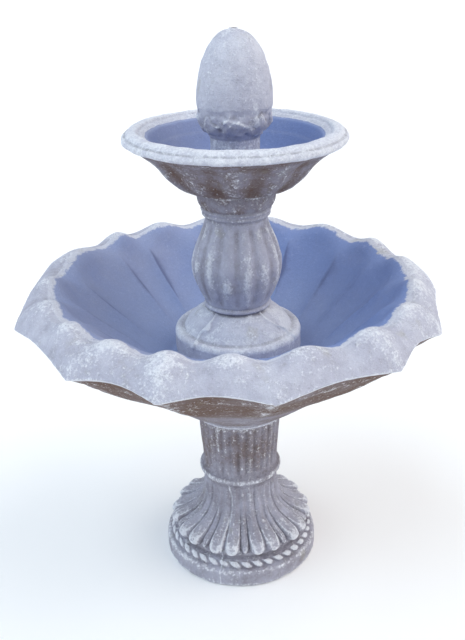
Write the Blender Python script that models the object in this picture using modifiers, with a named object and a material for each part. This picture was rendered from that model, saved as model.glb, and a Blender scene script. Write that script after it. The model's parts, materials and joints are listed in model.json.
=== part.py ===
"""Tiered garden fountain: five cast-stone pieces stacked on one axis, the rubber they stand on,
and the pump, pipe and stoppers that they hide.

Z = 0 is the ground and the fountain's axis is X = Y = 0. The front is -Y. Lengths are in metres.
"""
import math

import bmesh
import bpy
from mathutils import Matrix

GAP = 0.0003            # clearance between pieces that touch

# Base pedestal
COLUMN_TOP = 0.323
COLUMN_RADIUS = 0.082
WAIST_RADIUS = 0.0762
COLLAR_HEIGHT = 0.194
SKIRT_RADIUS = 0.144
SKIRT_HEIGHT = 0.071
ROPE_RING_RADIUS = 0.1395
ROPE_RADIUS = 0.0078
ROPE_HEIGHT = 0.0430
PLINTH_RADIUS = 0.1575
PLINTH_HEIGHT = 0.037
COLUMN_BORE = 0.050
LEAVES = 10
LEAF_DIRECTION = 255      # degrees; the middle of one leaf

# Lower basin
BASIN_BOTTOM = 0.326
BASIN_FLOOR = 0.451
BASIN_FLOOR_RADIUS = 0.128
CREST_RADIUS = 0.333
CREST_HEIGHT = 0.606
LIP_RADIUS = 0.397
LIP_HEIGHT = 0.557
LIP_SHIFT = 0.014       # the casting's lip lies this far to -X of its foot
SPIGOT_RADIUS = 0.054
SPIGOT_BORE = 0.046
PETAL_EDGES = (5, 35, 65, 98, 130, 163, 197, 230, 254, 280, 313, 336)
RIBS = (0, 21, 40, 65, 86, 107, 128, 143, 173, 193, 211, 228, 246, 261, 279, 301, 321, 341)
PETAL_DEPTH = 0.045
PETAL_ARCH = 0.012
CREST_WAVE = 0.009
FLUTE_DEPTH = 0.014

# Upper pedestal
PEDESTAL_BOTTOM = 0.454
PEDESTAL_TOP = 0.7765
FOOT_RADIUS = 0.1205
CHAMBER_RADIUS = 0.096
BELLY_RADIUS = 0.083
BELLY_HEIGHT = 0.634
NECK_RADIUS = 0.0562
NECK_HEIGHT = 0.722
CAPITAL_RADIUS = 0.0715
GADROONS = 14

# Upper bowl
BOWL_BOTTOM = 0.7789
BOWL_FLOOR = 0.800
BOWL_RIM_RADIUS = 0.197
BOWL_RIM_HEIGHT = 0.8655
BOWL_FLUTES = 12
BOWL_HOLE = 0.014

# Finial
FINIAL_BOTTOM = 0.803
FINIAL_TOP = 1.0415
EGG_RADIUS = 0.0662
EGG_MIDDLE = 0.924
FINIAL_NECK = 0.0445
FINIAL_LEAVES = 8

# Pump and pipe
ROTOR_HEIGHT = 0.482
MOTOR_BACK = -0.056
MOTOR_FRONT = -0.006
MOTOR_WIDTH = 0.042
MOTOR_BASE = 0.4595
MOTOR_TOP = 0.5045
VOLUTE_FRONT = 0.0103
STRAINER_FRONT = 0.0205
TUBE_OUTER = 0.0080
TUBE_INNER = 0.0064
TUBE_TOP = 0.830
NOZZLE_RADIUS = 0.0061
NOZZLE_TOP = 1.0400
STOPPER_Y = 0.036
STOPPER_HOLE = 0.009
PAD_THICKNESS = 0.0024

STONE = ((0.60, 0.60, 0.66), 0.85, 0.0)
RUBBER = ((0.035, 0.035, 0.038), 0.75, 0.0)
BLACK_PLASTIC = ((0.045, 0.048, 0.052), 0.45, 0.0)
BLUE_PLASTIC = ((0.06, 0.16, 0.34), 0.40, 0.0)
CLEAR_PVC = ((0.70, 0.76, 0.78), 0.25, 0.0)
COPPER = ((0.72, 0.38, 0.22), 0.35, 1.0)
STEEL = ((0.66, 0.67, 0.68), 0.30, 1.0)
FERRITE = ((0.16, 0.15, 0.15), 0.60, 0.2)
CERAMIC = ((0.88, 0.87, 0.84), 0.30, 0.0)

for leftover in list(bpy.data.objects):
    bpy.data.objects.remove(leftover, do_unlink=True)
parts = bpy.data.collections.new("tiered_fountain")
cutters = bpy.data.collections.new("cutters")
bpy.context.scene.collection.children.link(parts)
bpy.context.scene.collection.children.link(cutters)


# ---------------------------------------------------------------- outlines

def smooth(points, steps=3):
    """Points along a smooth curve that passes through every point given."""
    ends = [points[0]] + list(points) + [points[-1]]
    curve = []
    for before, start, end, after in zip(ends, ends[1:], ends[2:], ends[3:]):
        for step in range(steps):
            t = step / steps
            curve.append(tuple(
                0.5 * (2 * b + (c - a) * t + (2 * a - 5 * b + 4 * c - d) * t ** 2
                       + (3 * b - a - 3 * c + d) * t ** 3)
                for a, b, c, d in zip(before, start, end, after)))
    return curve + [tuple(points[-1])]


def arc(radius, height, size, start, end, steps=4):
    """Points round a bead centred at (radius, height); 0 degrees faces away from the axis."""
    turns = [math.radians(start + (end - start) * i / steps) for i in range(steps + 1)]
    return [(radius + size * math.cos(a), height + size * math.sin(a)) for a in turns]


def ramp(value, low, high):
    """0 below low, 1 above high, and a smooth rise between them."""
    t = min(1.0, max(0.0, (value - low) / (high - low)))
    return t * t * (3 - 2 * t)


def hump(value, low, peak, high):
    """1 at peak, falling smoothly to 0 at low and at high."""
    return ramp(value, low, peak) if value < peak else 1 - ramp(value, peak, high)


def share(angle, marks):
    """How far an angle lies from one mark (0) to the next (1), for marks in degrees."""
    degrees = math.degrees(angle) % 360
    for low, high in zip(marks, marks[1:] + (marks[0] + 360,)):
        for turn in (0, 360):
            if low <= degrees + turn <= high:
                return (degrees + turn - low) / (high - low)
    return 0.0


# ---------------------------------------------------------------- making solids

def finish(item, look, sharp=35):
    """Give a piece its material and its smooth shading, and put it among the parts."""
    colour, roughness, metallic = look
    surface = bpy.data.materials.new(item.name)
    surface.use_nodes = True
    shader = surface.node_tree.nodes["Principled BSDF"]
    shader.inputs["Base Color"].default_value = (*colour, 1)
    shader.inputs["Roughness"].default_value = roughness
    shader.inputs["Metallic"].default_value = metallic
    item.data.materials.clear()
    item.data.materials.append(surface)
    item.data.shade_smooth()
    item.data.set_sharp_from_angle(angle=math.radians(sharp))
    return item


def add(name, mesh, group=parts, place=(0, 0, 0)):
    item = bpy.data.objects.new(name, mesh)
    item.location = place
    group.objects.link(item)
    if group is cutters:
        item.hide_render = True
        item.display_type = "WIRE"
    return item


def lathe(name, outline, steps, closed=True, group=parts, place=(0, 0, 0)):
    """Turn an outline of (radius, height) points, top to bottom on its outer side, about Z."""
    mesh = bpy.data.meshes.new(name)
    count = len(outline)
    edges = [(i, (i + 1) % count) for i in range(count if closed else count - 1)]
    mesh.from_pydata([(radius, 0, height) for radius, height in outline], edges, [])
    item = add(name, mesh, group, place)
    screw = item.modifiers.new("turn", "SCREW")
    screw.steps = steps
    screw.render_steps = steps
    screw.use_merge_vertices = True
    screw.merge_threshold = 0.00001
    return item


def applied(item):
    """Replace a piece's mesh by what its modifiers make of it."""
    bpy.context.view_layer.update()
    seen = item.evaluated_get(bpy.context.evaluated_depsgraph_get())
    item.data = bpy.data.meshes.new_from_object(seen)
    item.modifiers.clear()
    return item


def carve(item, rule):
    """Move each point of a turned piece to where rule(radius, height, angle) says it lies."""
    applied(item)
    for point in item.data.vertices:
        radius = math.hypot(point.co.x, point.co.y)
        angle = math.atan2(point.co.y, point.co.x)
        point.co = rule(radius, point.co.z, angle)
    return item


def at(radius, height, angle):
    return radius * math.cos(angle), radius * math.sin(angle), height


def block(name, low, high, bevel=0.0, group=parts):
    """A box between two corners, with rounded edges where bevel is given."""
    form = bmesh.new()
    bmesh.ops.create_cube(form, size=1)
    size = [b - a for a, b in zip(low, high)]
    middle = [(a + b) / 2 for a, b in zip(low, high)]
    bmesh.ops.scale(form, vec=size, verts=form.verts)
    mesh = bpy.data.meshes.new(name)
    form.to_mesh(mesh)
    form.free()
    item = add(name, mesh, group, middle)
    if bevel:
        rounding = item.modifiers.new("edges", "BEVEL")
        rounding.width = bevel
        rounding.segments = 2
        rounding.use_clamp_overlap = True
    return item


def rod(name, radius, start, end, steps=16, group=cutters):
    """A plain cylinder between two points on a line along X, Y or Z."""
    length = math.dist(start, end)
    form = bmesh.new()
    bmesh.ops.create_cone(form, cap_ends=True, segments=steps, radius1=radius, radius2=radius,
                          depth=length)
    along = [abs(b - a) / length for a, b in zip(start, end)]
    if along[0] > 0.5:
        bmesh.ops.rotate(form, verts=form.verts, matrix=Matrix.Rotation(math.pi / 2, 3, "Y"))
    if along[1] > 0.5:
        bmesh.ops.rotate(form, verts=form.verts, matrix=Matrix.Rotation(math.pi / 2, 3, "X"))
    mesh = bpy.data.meshes.new(name)
    form.to_mesh(mesh)
    form.free()
    middle = [(a + b) / 2 for a, b in zip(start, end)]
    return add(name, mesh, group, middle)


def combine(item, other, operation="DIFFERENCE"):
    """Cut another shape out of a piece, or join it on."""
    change = item.modifiers.new(other.name, "BOOLEAN")
    change.operation = operation
    change.solver = "EXACT"
    change.object = other
    return item


def turn_to_x(item):
    """Lay a turned piece on its side, so that its axis runs along +X."""
    item.rotation_euler = (0, math.pi / 2, 0)
    return item


# ---------------------------------------------------------------- cast stone

def base_pedestal():
    column = smooth([(COLUMN_RADIUS, COLUMN_TOP), (COLUMN_RADIUS - 0.001, 0.290),
                     (WAIST_RADIUS + 0.001, 0.240), (WAIST_RADIUS, 0.209)], 2)
    collar = arc(WAIST_RADIUS, COLLAR_HEIGHT, 0.0072, 75, -75, 3)
    skirt = smooth([(WAIST_RADIUS - 0.001, 0.172), (0.0775, 0.135), (0.095, 0.106),
                    (SKIRT_RADIUS - 0.006, SKIRT_HEIGHT + 0.010)], 2)
    tips = arc(SKIRT_RADIUS - 0.008, SKIRT_HEIGHT, 0.008, 50, -90, 2)
    rope = arc(ROPE_RING_RADIUS, ROPE_HEIGHT, ROPE_RADIUS, 80, -60, 3)
    edge = 0.008
    plinth = arc(PLINTH_RADIUS - edge, PLINTH_HEIGHT - edge, edge, 90, 0, 2)
    foot = [(PLINTH_RADIUS, 0.003), (PLINTH_RADIUS - 0.003, 0)]
    hollow = [(0.118, 0), (0.115, 0.028), (COLUMN_BORE, 0.120),
              (COLUMN_BORE, 0.270), (SPIGOT_RADIUS + 0.003, COLUMN_TOP)]

    def leaves(radius, height, angle):
        turned = angle - math.radians(LEAF_DIRECTION)
        wave = math.cos(LEAVES * turned)
        outside = radius > COLUMN_BORE + 0.020 and height > 0.056
        if outside and height > COLLAR_HEIGHT:
            fluted = ramp(height, 0.204, 0.218) * (1 - ramp(height, 0.310, 0.322))
            radius += 0.0016 * (math.cos(2 * LEAVES * turned) - 0.5) * fluted
        elif outside:
            leaf = ramp(radius, 0.074, 0.120) * ramp(height, 0.056, 0.066)
            radius += 0.0060 * (wave - 0.5) * leaf
            height -= 0.0050 * (wave - 0.5) * leaf
        return at(radius, height, angle)

    piece = lathe("base_pedestal", column + collar + skirt + tips + [(0.133, 0.0530)] + rope
                  + plinth + foot + hollow, 6 * LEAVES)
    carve(piece, leaves)
    notch = block("cord_notch", (-0.018, 0.10, -0.01), (0.018, 0.17, 0.026), group=cutters)
    return finish(combine(piece, notch), STONE)


def lower_basin():
    inside = [(0, BASIN_FLOOR)]
    inside += smooth([(BASIN_FLOOR_RADIUS, BASIN_FLOOR), (0.180, 0.478), (0.250, 0.538),
                      (0.306, 0.593), (CREST_RADIUS, CREST_HEIGHT)], 2)
    lip = smooth([(CREST_RADIUS, CREST_HEIGHT), (0.352, 0.604), (0.378, 0.587),
                  (LIP_RADIUS, LIP_HEIGHT)], 2)[1:]
    under = [(0.388, 0.550), (0.362, 0.532), (0.325, 0.501), (0.290, 0.474), (0.200, 0.414),
             (0.140, 0.366), (0.108, 0.340), (0.093, 0.333)]
    foot = [(0.091, BASIN_BOTTOM), (SPIGOT_RADIUS, BASIN_BOTTOM),
            (SPIGOT_RADIUS, BASIN_BOTTOM - 0.012), (SPIGOT_BORE, BASIN_BOTTOM - 0.012),
            (SPIGOT_BORE, 0.405), (0.038, 0.415), (0, 0.415)]
    per_petal = 5
    columns = per_petal * len(PETAL_EDGES)

    def petals(radius, height, angle):
        petal, step = divmod(round(angle / math.tau * columns) % columns, per_petal)
        start = PETAL_EDGES[petal]
        end = PETAL_EDGES[petal + 1] if petal + 1 < len(PETAL_EDGES) else PETAL_EDGES[0] + 360
        angle = math.radians(start + (end - start) * step / per_petal)
        arch = math.sin(math.pi * step / per_petal)
        flute = share(angle, RIBS)
        inner = height > 0.37 + 0.55 * radius and radius < CREST_RADIUS
        shift = LIP_SHIFT * ramp(radius, 0.10, LIP_RADIUS)
        if inner:
            cut = ramp(height, 0.456, 0.500) * (1 - ramp(height, 0.575, CREST_HEIGHT))
            radius += FLUTE_DEPTH * (math.sin(math.pi * flute) - 0.6) * cut
        if height > 0.570:
            top = hump(radius, 0.270, CREST_RADIUS, LIP_RADIUS)
            height -= CREST_WAVE * math.cos(math.tau * flute) * top
        height += PETAL_ARCH * arch * ramp(radius, 0.370, LIP_RADIUS) * (height > 0.5)
        radius *= 1 - PETAL_DEPTH * arch * ramp(radius, 0.320, LIP_RADIUS)
        x, y, z = at(radius, height, angle)
        return x - shift, y, z

    piece = lathe("lower_basin", inside + lip + under + foot, columns, closed=False)
    carve(piece, petals)
    drain = rod("drain_hole", STOPPER_HOLE, (0, STOPPER_Y, 0.39), (0, STOPPER_Y, 0.47))
    return finish(combine(piece, drain), STONE)


def upper_pedestal():
    capital = [(CAPITAL_RADIUS, PEDESTAL_TOP)]
    capital += [(CAPITAL_RADIUS, 0.7640), (0.0700, 0.7520), (0.0650, 0.7415)]
    mouldings = arc(0.0610, 0.7375, 0.0034, 60, -60, 2) + arc(0.0590, 0.7290, 0.0034, 60, -70, 2)
    baluster = smooth([(NECK_RADIUS, NECK_HEIGHT + 0.0015), (0.0600, 0.705), (0.0755, 0.667),
                       (BELLY_RADIUS, BELLY_HEIGHT), (0.0782, 0.600), (0.0620, 0.562)], 2)
    bead = arc(0.0585, 0.555, 0.0052, 60, -80, 2)
    dome = smooth([(0.0600, 0.5465), (0.0820, 0.5345), (0.1020, 0.5110)], 2)
    rim = arc(FOOT_RADIUS - 0.010, 0.5000, 0.010, 105, 0, 3)
    side = [(FOOT_RADIUS, 0.468), (FOOT_RADIUS - 0.003, PEDESTAL_BOTTOM)]
    hollow = [(CHAMBER_RADIUS, PEDESTAL_BOTTOM), (0.094, 0.480), (0.074, 0.508),
              (0.038, 0.532), (0.046, 0.610), (0.032, 0.700), (0.032, PEDESTAL_TOP)]

    def gadroons(radius, height, angle):
        if radius > 0.055:
            body = ramp(height, 0.562, 0.572) * (1 - ramp(height, 0.706, 0.720))
            cap = ramp(height, 0.743, 0.753) * (1 - ramp(height, 0.765, 0.771))
            lobe = abs(math.cos(GADROONS * angle / 2))
            radius += (0.0050 * body + 0.0025 * cap) * (lobe - 0.8)
        return at(radius, height, angle)

    piece = lathe("upper_pedestal", capital + mouldings + baluster + bead + dome + rim + side
                  + hollow, 3 * GADROONS)
    carve(piece, gadroons)
    inlet = block("water_inlet", (-0.022, 0.080, 0.440), (0.022, 0.130, 0.478), group=cutters)
    return finish(combine(piece, inlet), STONE)


def upper_bowl():
    rim_edge = [(0.1580, 0.8735), (0.1645, 0.8770)]
    roll = [(0.1735, 0.8820), (0.1850, 0.8790), (0.1900, 0.8725)]
    bead = arc(BOWL_RIM_RADIUS - 0.008, BOWL_RIM_HEIGHT, 0.008, 60, -75, 4)
    body = smooth([(0.1800, 0.8520), (0.1650, 0.8420), (0.1490, 0.8280), (0.1290, 0.8030),
                   (0.1060, 0.7830)], 2)
    under = [(0.1010, 0.7795), (0.0700, BOWL_BOTTOM), (BOWL_HOLE, BOWL_BOTTOM),
             (BOWL_HOLE, BOWL_FLOOR)]
    basin = smooth([(0.0780, BOWL_FLOOR), (0.1200, 0.8180), (0.1500, 0.8680)])

    def flutes(radius, height, angle):
        lobe = abs(math.cos(BOWL_FLUTES * angle / 2))
        outside = height < 1.16 * radius + 0.6740 and radius > 0.1015
        if outside:
            cut = ramp(height, 0.7800, 0.7860) * (1 - ramp(height, 0.8440, 0.8520))
            radius += 0.0090 * (lobe - 0.85) * cut
        return at(radius, height, angle)

    piece = lathe("upper_bowl", rim_edge + roll + bead + body + under + basin, 3 * BOWL_FLUTES)
    return finish(carve(piece, flutes), STONE)


def finial():
    crown = [(NOZZLE_RADIUS + GAP, FINIAL_TOP)]
    steps = 7
    for i in range(1, steps):
        turn = math.pi / 2 * i / steps
        crown.append((EGG_RADIUS * math.sin(turn) ** 0.92,
                      EGG_MIDDLE + (FINIAL_TOP - EGG_MIDDLE) * math.cos(turn)))
    cup = smooth([(EGG_RADIUS, EGG_MIDDLE), (0.0655, 0.900), (0.0590, 0.8790),
                  (FINIAL_NECK, 0.8640)], 2) + [(FINIAL_NECK, 0.8200)]
    hollow = [(0.0455, FINIAL_BOTTOM), (0.0185, FINIAL_BOTTOM), (0.0185, 0.850),
              (NOZZLE_RADIUS + GAP, 0.862)]

    def leaves(radius, height, angle):
        lobe = abs(math.cos(FINIAL_LEAVES * angle / 2))
        leaf = hump(height, 0.866, 0.882, 0.908) * (radius > 0.0400)
        radius += 0.0045 * (lobe - 0.75) * leaf
        return at(radius, height, angle)

    piece = lathe("finial", crown + cup + hollow, 3 * FINIAL_LEAVES)
    return finish(carve(piece, leaves), STONE)


# ---------------------------------------------------------------- rubber between the stones

def disc(name, outer, low, high, inner=0.0, place=(0, 0), steps=12, look=RUBBER):
    """A round pad, or a washer where inner is given."""
    outline = [(outer, high), (outer, low)]
    if inner:
        item = lathe(name, [(inner, high)] + outline + [(inner, low)], steps)
    else:
        item = lathe(name, [(0, high)] + outline + [(0, low)], steps, closed=False)
    item.location = (place[0], place[1], 0)
    return finish(item, look)


def ring_of_pads(stem, ring, radius, top):
    for number in range(3):
        angle = math.tau * number / 3 - math.pi / 2
        disc(f"{stem}_{number + 1}", radius, top - PAD_THICKNESS, top,
             place=(ring * math.cos(angle), ring * math.sin(angle)))


def stoppers():
    """Tapered rubber stoppers: one closes round the pump's cord, one grips the riser tube."""
    head = BASIN_FLOOR + GAP
    plug = lathe("cord_stopper", [(0.0022, head + 0.004), (0.0125, head + 0.004),
                                  (0.0135, head + 0.003), (0.0135, head),
                                  (STOPPER_HOLE - 0.0006, head), (STOPPER_HOLE - 0.0011, 0.424),
                                  (0.0022, 0.424)], 14)
    plug.location = (0, STOPPER_Y, 0)
    finish(plug, RUBBER)
    bore = TUBE_OUTER + GAP
    top = BOWL_FLOOR + GAP
    grip = lathe("tube_stopper", [(bore, top + 0.0035), (0.0160, top + 0.0035),
                                  (0.0170, top + 0.0025), (0.0170, top),
                                  (BOWL_HOLE - 0.0004, top), (BOWL_HOLE - 0.0010, 0.7810),
                                  (bore, 0.7810)], 20)
    finish(grip, RUBBER)


# ---------------------------------------------------------------- pump

def pump_motor():
    half = MOTOR_WIDTH / 2
    body = block("pump_motor", (MOTOR_BACK, -half, MOTOR_BASE), (MOTOR_FRONT, half, MOTOR_TOP),
                 0.003)
    pocket = rod("rotor_pocket", 0.0095, (-0.046, 0, ROTOR_HEIGHT),
                 (MOTOR_FRONT + 0.01, 0, ROTOR_HEIGHT), 20)
    combine(body, pocket)
    for number, height in enumerate((0.468, 0.496)):
        for side in (-1, 1):
            groove = block(f"cooling_groove_{number}_{side + 1}",
                           (MOTOR_BACK + 0.008, side * half - 0.0015, height - 0.0015),
                           (MOTOR_FRONT - 0.006, side * half + 0.0015, height + 0.0015),
                           group=cutters)
            combine(body, groove)
    return finish(body, BLACK_PLASTIC)


def pump_volute():
    back = MOTOR_FRONT + GAP
    radius = 0.0190
    shell = lathe("pump_volute", [(0.0165, VOLUTE_FRONT), (radius - 0.002, VOLUTE_FRONT),
                                  (radius, VOLUTE_FRONT - 0.002), (radius, back),
                                  (0.0155, back), (0.0155, 0.0075), (0.0068, 0.0075),
                                  (0.0068, VOLUTE_FRONT)], 20)
    turn_to_x(shell)
    shell.location = (0, 0, ROTOR_HEIGHT)
    barb_base = ROTOR_HEIGHT + 0.0172
    barb = lathe("outlet_barb", [(0.0045, 0.5250), (0.0054, 0.5250), (0.0060, 0.5210),
                                 (0.0053, 0.5170), (0.0053, barb_base), (0.0045, barb_base)],
                 16, group=cutters)
    combine(shell, barb, "UNION")
    outlet = rod("outlet_bore", 0.0040, (0, 0, ROTOR_HEIGHT + 0.013), (0, 0, 0.53), 12)
    return finish(combine(shell, outlet), BLACK_PLASTIC)


def pump_strainer():
    back = VOLUTE_FRONT + GAP
    half_width = 0.0200
    low = 0.4620
    high = 0.5020
    cover = block("pump_strainer", (back, -half_width, low), (STRAINER_FRONT, half_width, high),
                  0.0025)
    hollow = block("strainer_hollow", (back - 0.01, -half_width + 0.002, low + 0.002),
                   (STRAINER_FRONT - 0.002, half_width - 0.002, high - 0.002), group=cutters)
    combine(cover, hollow)
    for number in range(6):
        across = -0.0150 + 0.0060 * number
        slot = block(f"intake_slot_{number}", (STRAINER_FRONT - 0.005, across - 0.0012, low + 0.005),
                     (STRAINER_FRONT + 0.005, across + 0.0012, ROTOR_HEIGHT - 0.0080),
                     group=cutters)
        combine(cover, slot)
    spindle = rod("dial_spindle_hole", 0.0021, (STRAINER_FRONT - 0.005, 0, ROTOR_HEIGHT + 0.004),
                  (STRAINER_FRONT + 0.005, 0, ROTOR_HEIGHT + 0.004), 12)
    return finish(combine(cover, spindle), BLACK_PLASTIC)


def flow_dial():
    height = ROTOR_HEIGHT + 0.004
    front = STRAINER_FRONT + GAP
    dial = lathe("flow_dial", [(0, 0.0040), (0.0062, 0.0040), (0.0070, 0.0032), (0.0070, 0),
                               (0.0018, 0), (0.0018, -0.0035), (0, -0.0035)], 20, closed=False)
    turn_to_x(dial)
    dial.location = (front, 0, height)
    grip = block("dial_grip", (front + 0.0030, -0.0011, height - 0.0060),
                 (front + 0.0062, 0.0011, height + 0.0060), group=cutters)
    return finish(combine(dial, grip, "UNION"), BLUE_PLASTIC)


def rotor():
    """Impeller, magnet, fixed pin and the two rubber bushes that hold the pin."""
    bore = 0.0016
    front = MOTOR_FRONT + 0.0040
    wheel = lathe("impeller", [(bore, front + 0.0075), (0.0040, front + 0.0075),
                               (0.0040, front + 0.0016), (0.0135, front + 0.0016),
                               (0.0135, front), (bore, front)], 24)
    turn_to_x(wheel)
    wheel.location = (0, 0, ROTOR_HEIGHT)
    vanes = 6
    for number in range(vanes):
        vane = block(f"vane_{number}", (front + 0.0010, -0.0005, 0.0030),
                     (front + 0.0070, 0.0005, 0.0132), group=cutters)
        middle = vane.location.copy()
        vane.matrix_world = (Matrix.Translation((0, 0, ROTOR_HEIGHT))
                             @ Matrix.Rotation(math.tau * number / vanes, 4, "X")
                             @ Matrix.Translation(middle))
        combine(wheel, vane, "UNION")
    finish(wheel, BLUE_PLASTIC)
    magnet = lathe("rotor_magnet", [(bore, front - GAP), (0.0078, front - GAP),
                                    (0.0083, front - 0.0009), (0.0083, -0.0395),
                                    (0.0078, -0.0400), (bore, -0.0400)], 24)
    turn_to_x(magnet)
    magnet.location = (0, 0, ROTOR_HEIGHT)
    finish(magnet, FERRITE)
    finish(rod("impeller_shaft", 0.0013, (-0.0445, 0, ROTOR_HEIGHT),
               (front + 0.0118, 0, ROTOR_HEIGHT), 12, group=parts), CERAMIC)
    for name, low, high in (("shaft_bush_rear", -0.0455, -0.0410),
                            ("shaft_bush_front", front + 0.0080, front + 0.0120)):
        bush = disc(name, 0.0045, low, high, inner=bore)
        turn_to_x(bush)
        bush.location = (0, 0, ROTOR_HEIGHT)


def pump_feet():
    for number, (x, y) in enumerate(((-0.050, -0.015), (-0.050, 0.015),
                                     (-0.012, -0.015), (-0.012, 0.015))):
        low = BASIN_FLOOR + GAP
        top = MOTOR_BASE - GAP
        cup = lathe(f"suction_cup_{number + 1}",
                    [(0, top), (0.0038, top), (0.0042, top - 0.0030), (0.0078, low + 0.0008),
                     (0.0078, low), (0.0070, low), (0.0030, low + 0.0022), (0, low + 0.0024)],
                    10, closed=False)
        cup.location = (x, y, 0)
        finish(cup, RUBBER)


def cord_gland():
    back = MOTOR_BACK - GAP
    gland = lathe("cord_gland", [(0, 0), (0.0034, 0), (0.0034, 0.0060), (0.0052, 0.0070),
                                 (0.0056, 0.0120), (0, 0.0120)], 18, closed=False)
    turn_to_x(gland)
    gland.location = (back - 0.0120, 0, 0.4680)
    blind = rod("cord_hole", 0.0024, (back - 0.02, 0, 0.4680), (back - 0.004, 0, 0.4680), 12)
    return finish(combine(gland, blind), RUBBER)


# ---------------------------------------------------------------- pipe

def pipe():
    tube = lathe("riser_tube", [(TUBE_INNER, TUBE_TOP), (TUBE_OUTER, TUBE_TOP),
                                (TUBE_OUTER, 0.5105), (TUBE_INNER, 0.5105)], 20)
    finish(tube, CLEAR_PVC)
    nozzle = lathe("nozzle_tube", [(0.0050, NOZZLE_TOP), (NOZZLE_RADIUS, NOZZLE_TOP),
                                   (NOZZLE_RADIUS, 0.806), (0.0050, 0.806)], 20)
    finish(nozzle, COPPER)
    band = TUBE_OUTER + GAP
    clamp = lathe("hose_clamp", [(band, 0.5235), (band + 0.0009, 0.5235),
                                 (band + 0.0009, 0.5155), (band, 0.5155)], 20)
    lug = block("clamp_screw", (-0.0040, -band - 0.0050, 0.5165), (0.0040, -band - 0.0004, 0.5225),
                group=cutters)
    return finish(combine(clamp, lug, "UNION"), STEEL)


base_pedestal()
ring_of_pads("basin_pad", 0.0695, 0.0075, BASIN_BOTTOM - GAP)
lower_basin()
ring_of_pads("pedestal_pad", 0.1065, 0.0070, PEDESTAL_BOTTOM - GAP)
upper_pedestal()
disc("bowl_gasket", 0.052, PEDESTAL_TOP + GAP, BOWL_BOTTOM - GAP, inner=0.035, steps=24)
upper_bowl()
disc("finial_gasket", 0.043, BOWL_FLOOR + GAP, FINIAL_BOTTOM - GAP, inner=0.022, steps=24)
finial()
stoppers()
pump_motor()
pump_volute()
pump_strainer()
flow_dial()
rotor()
pump_feet()
cord_gland()
pipe()
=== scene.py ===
"""Looks of the tiered garden fountain: five weathered cast-stone pieces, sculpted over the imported
model's castings, and the materials of the rubber, pump and pipe that they hide.

Lengths are in metres. Z = 0 is the ground, the fountain's axis is X = Y = 0 and the front is -Y.
"""
import json
import math

import bmesh
import bpy
import numpy as np
from mathutils import Matrix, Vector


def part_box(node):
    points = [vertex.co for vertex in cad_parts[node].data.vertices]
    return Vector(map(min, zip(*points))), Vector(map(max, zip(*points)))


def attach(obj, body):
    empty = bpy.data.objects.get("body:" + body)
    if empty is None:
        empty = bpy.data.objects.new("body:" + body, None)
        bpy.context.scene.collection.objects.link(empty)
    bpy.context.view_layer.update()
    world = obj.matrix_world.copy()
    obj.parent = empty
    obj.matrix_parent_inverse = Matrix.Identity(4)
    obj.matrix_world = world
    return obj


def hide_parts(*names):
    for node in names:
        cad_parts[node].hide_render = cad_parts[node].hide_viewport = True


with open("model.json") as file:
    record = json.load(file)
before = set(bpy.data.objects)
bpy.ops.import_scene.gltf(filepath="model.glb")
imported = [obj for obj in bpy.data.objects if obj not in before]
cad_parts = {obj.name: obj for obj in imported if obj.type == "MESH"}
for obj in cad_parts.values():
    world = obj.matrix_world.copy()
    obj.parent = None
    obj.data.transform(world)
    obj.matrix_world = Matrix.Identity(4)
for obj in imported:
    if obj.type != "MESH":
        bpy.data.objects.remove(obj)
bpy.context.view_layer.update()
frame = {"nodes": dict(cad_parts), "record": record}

# Camera: in front of the fountain and a little above its top
CAMERA_PLACE = (0, -1.419, 1.173)
CAMERA_PITCH = 24.9         # degrees below the horizon
CAMERA_ROLL = -0.9          # degrees
FOCAL_LENGTH = 46.24        # mm
SENSOR = 36.0               # mm, along the picture's long side
CAMERA_SHIFT = -0.0086

LEAVES = 10                 # on the base pedestal's skirt, each with two lobes
LEAF_DIRECTION = 255        # degrees; the middle of one leaf
STRANDS = 40                # in the rope round its foot
GADROONS = 14               # on the upper pedestal
BOWL_FLUTES = 12
FINIAL_LEAVES = 8
PETAL_EDGES = (5, 35, 65, 98, 130, 163, 197, 230, 254, 280, 313, 336)
RIBS = (0, 21, 40, 65, 86, 107, 128, 143, 173, 193, 211, 228, 246, 261, 279, 301, 321, 341)

NEAR, FAR = 2, 5            # steps over which fine and broad relief are measured
SHARP_ANGLE = 70            # degrees; steeper edges aren't shaded smooth
FLOOR_RADIUS = 40
FLOOR_GAP = 0.0005          # keeps the floor clear of the plinth's underside
SUN_SPREAD = 70             # degrees; wide, so shadows stay soft


def srgb(red, green, blue):
    """A colour of the screen, 0 to 255, as the linear numbers that shaders take."""
    linear = [(c / 255 / 12.92) if c < 11 else ((c / 255 + 0.055) / 1.055) ** 2.4
              for c in (red, green, blue)]
    return (*linear, 1.0)


# ---------------------------------------------------------------- outlines

def smooth(points, steps=12):
    """Points along a smooth curve that passes through every point given."""
    ends = np.array([points[0], *points, points[-1]], float)
    share = np.linspace(0, 1, steps, endpoint=False)[:, None]
    runs = []
    for a, b, c, d in zip(ends, ends[1:], ends[2:], ends[3:]):
        runs.append(0.5 * (2 * b + (c - a) * share + (2 * a - 5 * b + 4 * c - d) * share ** 2
                           + (3 * b - a - 3 * c + d) * share ** 3))
    return np.concatenate(runs + [ends[-1:]])


def arc(radius, height, size, start, end, steps=24):
    """Points round a bead centred at (radius, height); 0 degrees faces away from the axis."""
    turns = np.radians(np.linspace(start, end, steps + 1))
    return np.column_stack([radius + size * np.cos(turns), height + size * np.sin(turns)])


def stretch(points, part, spacing):
    """Rows of radius, height, part number and share of the way, at even steps along a line."""
    points = np.array(points, float)
    steps = np.hypot(*np.diff(points, axis=0).T)
    way = np.concatenate([[0], np.cumsum(steps)])
    count = max(2, math.ceil(way[-1] / spacing) + 1)
    at = np.linspace(0, way[-1], count)
    return np.column_stack([np.interp(at, way, points[:, 0]), np.interp(at, way, points[:, 1]),
                            np.full(count, part), at / way[-1]])


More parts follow.
